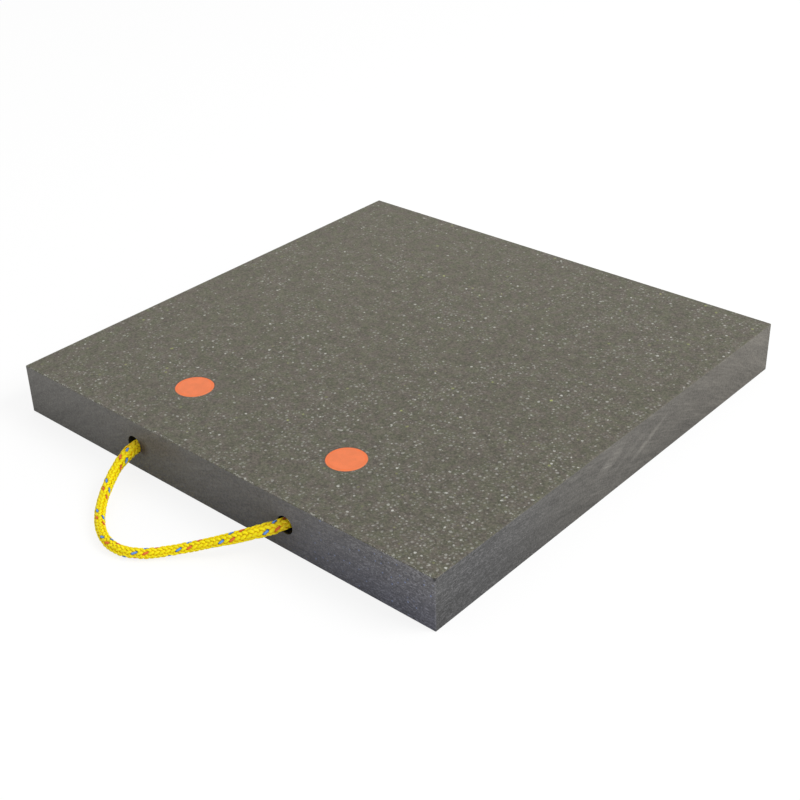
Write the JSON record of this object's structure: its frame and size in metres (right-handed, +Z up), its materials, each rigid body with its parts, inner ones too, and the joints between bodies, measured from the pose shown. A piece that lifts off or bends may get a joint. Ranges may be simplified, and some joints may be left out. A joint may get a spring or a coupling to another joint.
{
  "type": "outrigger support plate",
  "caption": "Square load-spreading plate of recycled plastic with a braided rope handle let into one edge and flush coloured plugs over the knot pockets.",
  "frame": {"origin": "middle of the slab's underside, on the ground", "axes": "+Z up through the slab's thickness; the rope handle comes out of the edge that faces -Y; +X runs along that edge"},
  "size_m": [0.5, 0.5961, 0.05],
  "materials": {
    "recycled_plastic": "matt, dark grey-brown with pale specks, planed faces and sawn edges",
    "plug_plastic": "satin orange moulded plastic",
    "braided_rope": "yellow braided rope with blue and red tracer strands"
  },
  "bodies": {
    "root": {"plate": "recycled_plastic", "plug_left": "plug_plastic", "plug_right": "plug_plastic", "rope_handle": "braided_rope", "rope_knot_left": "braided_rope", "rope_knot_right": "braided_rope"}
  },
  "joints": []
}
